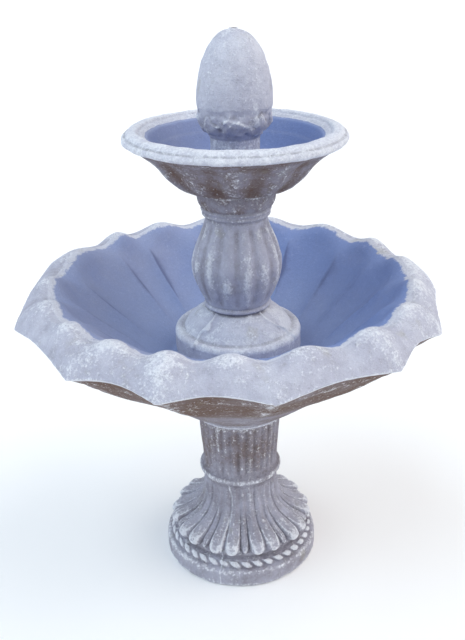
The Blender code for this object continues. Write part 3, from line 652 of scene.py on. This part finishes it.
class Look:
    """A material built from nodes, in object coordinates, so in metres of the frame."""

    def __init__(self, name, roughness=0.8, metallic=0.0):
        self.material = bpy.data.materials.new(name)
        self.material.use_nodes = True
        self.nodes = self.material.node_tree.nodes
        self.shader = self.nodes["Principled BSDF"]
        self.shader.inputs["Roughness"].default_value = roughness
        self.shader.inputs["Metallic"].default_value = metallic
        self.place = self.nodes.new("ShaderNodeTexCoord").outputs["Object"]

    def give(self, socket, value):
        if isinstance(value, bpy.types.NodeSocket):
            self.material.node_tree.links.new(value, socket)
        else:
            socket.default_value = value

    def sum(self, *terms, operation="ADD"):
        """One value from several, by adding them unless another operation is named."""
        total = terms[0]
        for term in terms[1:]:
            node = self.nodes.new("ShaderNodeMath")
            node.operation = operation
            self.give(node.inputs[0], total)
            self.give(node.inputs[1], term)
            total = node.outputs[0]
        return total

    def times(self, *terms):
        return self.sum(*terms, operation="MULTIPLY")

    def attribute(self, name):
        """The three colour channels and the alpha of a mesh's colour attribute."""
        source = self.nodes.new("ShaderNodeAttribute")
        source.attribute_name = name
        split = self.nodes.new("ShaderNodeSeparateColor")
        self.give(split.inputs[0], source.outputs["Color"])
        return (*split.outputs[:3], source.outputs["Alpha"])

    def stretched(self, size, shift=(0, 0, 0)):
        mapping = self.nodes.new("ShaderNodeMapping")
        self.give(mapping.inputs["Vector"], self.place)
        mapping.inputs["Scale"].default_value = size
        mapping.inputs["Location"].default_value = shift
        return mapping.outputs[0]

    def noise(self, scale, detail=4.0, roughness=0.55, size=(1, 1, 1), shift=(0, 0, 0)):
        """Noise with a middle value of 0, mostly between -0.25 and 0.25."""
        node = self.nodes.new("ShaderNodeTexNoise")
        self.give(node.inputs["Vector"], self.stretched(size, shift))
        node.inputs["Scale"].default_value = scale
        node.inputs["Detail"].default_value = detail
        node.inputs["Roughness"].default_value = roughness
        return self.sum(node.outputs[0], -0.5)

    def pits(self, scale, width):
        """1 in the middle of small round pits and 0 between them."""
        node = self.nodes.new("ShaderNodeTexVoronoi")
        self.give(node.inputs["Vector"], self.place)
        node.inputs["Scale"].default_value = scale
        return self.fade(node.outputs["Distance"], width, 0.0)

    def fade(self, value, low, high, top=1.0):
        """0 at low, rising smoothly to top at high."""
        node = self.nodes.new("ShaderNodeMapRange")
        node.interpolation_type = "SMOOTHSTEP"
        self.give(node.inputs["Value"], value)
        for name, number in (("From Min", low), ("From Max", high), ("To Max", top)):
            node.inputs[name].default_value = number
        return node.outputs[0]

    def mix(self, share, first, second):
        node = self.nodes.new("ShaderNodeMix")
        node.data_type = "RGBA"
        self.give(node.inputs["Factor"], share)
        self.give(node.inputs[6], first)
        self.give(node.inputs[7], second)
        return node.outputs[2]

    def colours(self, value, *stops):
        """A colour for each value from 0 to 1, from (value, colour) stops."""
        node = self.nodes.new("ShaderNodeValToRGB")
        self.give(node.inputs[0], value)
        marks = node.color_ramp.elements
        while len(marks) < len(stops):
            marks.new(0.5)
        for mark, (place, colour) in zip(marks, stops):
            mark.position = place
            mark.color = colour
        return node.outputs[0]

    def brighter(self, colour, value):
        """The colour times a value near 1."""
        node = self.nodes.new("ShaderNodeVectorMath")
        node.operation = "SCALE"
        self.give(node.inputs[0], colour)
        self.give(node.inputs["Scale"], value)
        return node.outputs[0]

    def upward(self):
        """1 where the surface faces straight up, 0 where it is upright or faces down."""
        shape = self.nodes.new("ShaderNodeNewGeometry")
        split = self.nodes.new("ShaderNodeSeparateXYZ")
        self.give(split.inputs[0], shape.outputs["Normal"])
        return self.fade(split.outputs["Z"], 0.1, 0.95)

    def done(self, colour, roughness=None, height=None, depth=0.001, strength=0.5):
        """Set the colour, the roughness and the bump, and return the material."""
        self.give(self.shader.inputs["Base Color"], colour)
        if roughness is not None:
            self.give(self.shader.inputs["Roughness"], roughness)
        if height is not None:
            node = self.nodes.new("ShaderNodeBump")
            node.inputs["Strength"].default_value = strength
            node.inputs["Distance"].default_value = depth
            self.give(node.inputs["Height"], height)
            self.give(self.shader.inputs["Normal"], node.outputs[0])
        return self.material


def cast_stone():
    """Grey cast stone: lime and painted highlight on proud edges, dirt and painted shade in
    hollows, old paint.
    """
    look = Look("cast_stone", roughness=0.9)
    proud_and_highlight, hollow, lime, dirt_and_shade = look.attribute("weather_and_shading")
    tone, paint = look.attribute("finish")[:2]
    patches = look.noise(13, 4, 0.6)
    blotches = look.noise(48, 5, 0.62, shift=(3, 1, 7))
    mottle = look.noise(150, 5, 0.65, shift=(5, 2, 1))
    scumble = look.noise(270, 4, 0.7, shift=(8, 3, 4))
    grain = look.noise(620, 3, 0.6)
    streaks = look.noise(1, 4, 0.6, size=(75, 75, 9))
    pits = look.times(look.pits(330, 0.34), look.fade(blotches, -0.06, 0.14))

    # brown follows tone, so undersides reach the brown end of these colours as painted shade.
    brown = look.sum(tone, look.times(patches, 0.70), look.times(blotches, 0.50),
                     look.times(mottle, 0.35))
    colour = look.colours(brown, (0.0, srgb(214, 216, 229)), (0.30, srgb(190, 191, 208)),
                          (0.60, srgb(156, 153, 166)), (0.82, srgb(126, 112, 112)),
                          (1.0, srgb(108, 84, 73)))
    olive = look.fade(look.noise(21, 3, 0.5, shift=(11, 4, 2)), 0.10, 0.26, 0.35)
    colour = look.mix(olive, colour, srgb(160, 156, 132))
    # Darker in hollows and with dirt: partly real dirt, partly painted shade in hollows, grooves
    # and creases.
    soil_and_shade = look.sum(look.times(hollow, 0.42), dirt_and_shade, look.times(mottle, 1.0),
                    look.times(scumble, 0.5), look.times(blotches, 0.5))
    colour = look.mix(look.fade(soil_and_shade, 0.14, 1.0, 0.72), colour, srgb(90, 84, 92))
    # Whiter with lime, on proud edges, on upward faces and with noise: partly real lime and wear,
    # partly painted highlights.
    scale = look.sum(look.times(proud_and_highlight, 0.50), lime, look.times(look.upward(), 0.12),
                     look.times(mottle, 1.3), look.times(scumble, 1.2), look.times(blotches, 0.9),
                     look.times(streaks, 0.9))
    colour = look.mix(look.fade(scale, 0.14, 0.80, 0.85), colour, srgb(236, 239, 247))
    # Near-white flecks, a little stronger on proud edges and with lime, so partly painted
    # highlight.
    flecks = look.sum(scumble, look.times(mottle, 0.9), look.times(proud_and_highlight, 0.22),
                      look.times(lime, 0.16), look.times(tone, 0.05))
    colour = look.mix(look.fade(flecks, 0.15, 0.36, 0.60), colour, srgb(240, 242, 249))
    colour = look.mix(look.times(pits, 0.40), colour, srgb(104, 100, 108))

    place = look.nodes.new("ShaderNodeSeparateXYZ")
    look.give(place.inputs[0], look.place)
    # The paint is paler and greyer toward the left (-X), with patches.
    paler_toward_left = look.sum(look.fade(place.outputs["X"], 0.16, -0.22, 0.66), look.times(patches, 0.7),
                     look.times(blotches, 0.35))
    blue = look.mix(paler_toward_left, srgb(122, 141, 190), srgb(151, 158, 187))
    # Painted light: paler blue low in the basin's pool, against the shade of the deep bowl.
    blue = look.mix(look.fade(place.outputs["Z"], 0.570, 0.470, 0.50), blue, srgb(150, 166, 205))
    blue = look.mix(look.fade(mottle, 0.07, 0.24, 0.25), blue, srgb(182, 190, 212))
    blue = look.mix(look.fade(lime, 0.05, 0.5, 0.5), blue, srgb(196, 200, 216))
    # Darker blue in blotches and where hollows and dirt are: partly stains, partly painted shade in
    # hollows and beside the ribs.
    blue = look.mix(look.fade(look.sum(look.times(hollow, 0.5), dirt_and_shade, look.times(blotches, 0.8)),
                              0.15, 0.95, 0.62), blue, srgb(70, 80, 124))
    painted = look.fade(look.sum(paint, look.times(blotches, 0.9), look.times(mottle, 0.5)),
                        0.38, 0.58)
    colour = look.mix(painted, colour, blue)
    colour = look.brighter(colour, look.sum(1.0, look.times(grain, 0.42), look.times(scumble, 0.20),
                                          look.times(mottle, 0.16)))

    bare = look.sum(1.0, look.times(painted, -0.72))
    height = look.times(bare, look.sum(look.times(mottle, 1.2), look.times(scumble, 0.8),
                                       look.times(grain, 0.7), look.times(pits, -0.6),
                                       look.times(blotches, 0.9)))
    gloss = look.sum(0.92, look.times(painted, -0.26), look.times(mottle, 0.25))
    return look.done(colour, gloss, height, depth=0.0034, strength=0.85)


def rubber():
    """Black rubber, dusty and slightly greyed by lime."""
    look = Look("black_rubber")
    dust = look.noise(160, 5, 0.6)
    grain = look.noise(1500, 2)
    colour = look.mix(look.fade(dust, -0.02, 0.22, 0.55), srgb(44, 44, 47), srgb(104, 106, 112))
    return look.done(colour, look.sum(0.78, look.times(dust, 0.5)),
                     look.sum(grain, dust), depth=0.0004)


def moulded_plastic(name, colour, worn, gloss):
    """Moulded plastic with a fine grain, rubbed shinier in patches, with a film of lime."""
    look = Look(name)
    texture = look.noise(1900, 2, 0.5)
    rubbed = look.noise(120, 4, 0.6)
    film = look.noise(340, 4, 0.65, size=(1, 1, 0.35))
    tint = look.mix(look.fade(rubbed, -0.10, 0.25, 0.6), colour, worn)
    tint = look.mix(look.fade(film, 0.06, 0.24, 0.35), tint, srgb(170, 172, 170))
    return look.done(tint, look.sum(gloss, look.times(rubbed, -0.5), look.times(film, 0.5)),
                     look.sum(texture, look.times(film, 0.4)), depth=0.0003, strength=0.4)


def clear_pvc():
    """Flexible PVC tube gone slightly milky, with green-brown growth inside."""
    look = Look("clear_pvc", roughness=0.22)
    look.shader.inputs["Transmission Weight"].default_value = 0.55
    look.shader.inputs["IOR"].default_value = 1.50
    growth = look.noise(70, 4, 0.6, size=(1, 1, 0.4))
    bands = look.noise(900, 2, 0.5, size=(0.2, 0.2, 1))
    colour = look.mix(look.fade(growth, 0.0, 0.24, 0.7), srgb(214, 221, 222), srgb(150, 152, 118))
    return look.done(colour, look.sum(0.24, look.times(growth, 0.4)), bands, depth=0.0002)


def copper():
    """Copper tube browned by weather, with verdigris."""
    look = Look("copper", metallic=1.0)
    tarnish = look.noise(110, 5, 0.6)
    green = look.noise(260, 4, 0.6, shift=(2, 6, 1))
    colour = look.colours(look.sum(0.5, tarnish), (0.30, srgb(198, 124, 92)),
                          (0.55, srgb(150, 92, 68)), (0.80, srgb(92, 64, 54)))
    colour = look.mix(look.fade(green, 0.08, 0.22, 0.8), colour, srgb(98, 150, 132))
    return look.done(colour, look.sum(0.40, look.times(tarnish, 0.6), look.times(green, 0.5)),
                     look.sum(green, tarnish), depth=0.0003)


def brushed_steel():
    """Stainless band, brushed round its girth, with water marks."""
    look = Look("clamp_steel", metallic=1.0)
    brushed = look.noise(1, 3, 0.6, size=(120, 120, 2600))
    marks = look.noise(420, 4, 0.6)
    colour = look.mix(look.fade(marks, 0.05, 0.22, 0.5), srgb(196, 198, 200), srgb(150, 148, 142))
    return look.done(colour, look.sum(0.33, look.times(brushed, 0.35), look.times(marks, 0.4)),
                     brushed, depth=0.0002)


def fine_grained(name, colour, darker, gloss):
    """A hard, pressed and sintered material, finely speckled."""
    look = Look(name)
    specks = look.noise(2200, 3, 0.6)
    stains = look.noise(220, 4, 0.6)
    tint = look.mix(look.fade(look.sum(specks, stains), -0.05, 0.30, 0.75), colour, darker)
    return look.done(tint, look.sum(gloss, look.times(stains, 0.4)), specks, depth=0.0002)


def dress_hidden_pieces():
    """Give each CAD piece that stays as it is a material of its own."""
    looks = {
        "black_rubber": rubber(),
        "pump_black": moulded_plastic("pump_black", srgb(40, 41, 44), srgb(72, 73, 76), 0.52),
        "pump_blue": moulded_plastic("pump_blue", srgb(42, 84, 148), srgb(86, 122, 172), 0.42),
        "clear_pvc": clear_pvc(),
        "copper": copper(),
        "steel": brushed_steel(),
        "ferrite": fine_grained("ferrite", srgb(74, 72, 71), srgb(44, 42, 42), 0.60),
        "white_ceramic": fine_grained("white_ceramic", srgb(238, 236, 230),
                                      srgb(204, 198, 186), 0.34),
    }
    for entry in frame["record"]["subparts"]:
        if entry["material_slot"] in looks:
            node = frame["nodes"][entry["node"]]
            node.data.materials.clear()
            node.data.materials.append(looks[entry["material_slot"]])


# ---------------------------------------------------------------- stage, light and camera

def stage():
    """A wide pale floor."""
    form = bmesh.new()
    bmesh.ops.create_circle(form, cap_ends=True, segments=96, radius=FLOOR_RADIUS)
    mesh = bpy.data.meshes.new("floor")
    form.to_mesh(mesh)
    form.free()
    floor = bpy.data.objects.new("floor", mesh)
    floor.location = (0, 0, -FLOOR_GAP)
    bpy.context.scene.collection.objects.link(floor)
    look = Look("pale_floor", roughness=0.9)
    mesh.materials.append(look.done(srgb(252, 252, 252)))


def soft_light(name, direction, colour, energy):
    """A broad, soft light from one direction."""
    lamp = bpy.data.lights.new(name, "SUN")
    lamp.color = colour
    lamp.energy = energy
    lamp.angle = math.radians(SUN_SPREAD)
    item = bpy.data.objects.new(name, lamp)
    bpy.context.scene.collection.objects.link(item)
    item.rotation_mode = "QUATERNION"
    item.rotation_quaternion = Vector(direction).to_track_quat("Z", "Y")


def lights():
    """A cool light from the left, a warm one from the right, and a pale room round them."""
    soft_light("sky_left", (-0.80, -0.30, 0.95), (0.70, 0.87, 1.0), 1.68)
    soft_light("sky_right", (0.85, -0.05, 0.80), (1.0, 0.95, 0.89), 1.72)
    world = bpy.data.worlds.new("room")
    bpy.context.scene.world = world
    world.use_nodes = True
    walls = world.node_tree.nodes["Background"]
    walls.inputs["Color"].default_value = (0.93, 0.95, 1.0, 1)
    walls.inputs["Strength"].default_value = 0.55


def camera():
    lens = bpy.data.cameras.new("camera")
    lens.lens = FOCAL_LENGTH
    lens.sensor_width = SENSOR
    lens.shift_x = CAMERA_SHIFT
    item = bpy.data.objects.new("camera", lens)
    item.matrix_world = (Matrix.Translation(CAMERA_PLACE)
                         @ Matrix.Rotation(math.radians(90 - CAMERA_PITCH), 4, "X")
                         @ Matrix.Rotation(math.radians(CAMERA_ROLL), 4, "Z"))
    bpy.context.scene.collection.objects.link(item)
    bpy.context.scene.camera = item


bpy.context.scene.view_settings.view_transform = "Standard"
camera()
lights()
stage()
stone = cast_stone()
base_pedestal(stone)
lower_basin(stone)
upper_pedestal(stone)
upper_bowl(stone)
finial(stone)
dress_hidden_pieces()
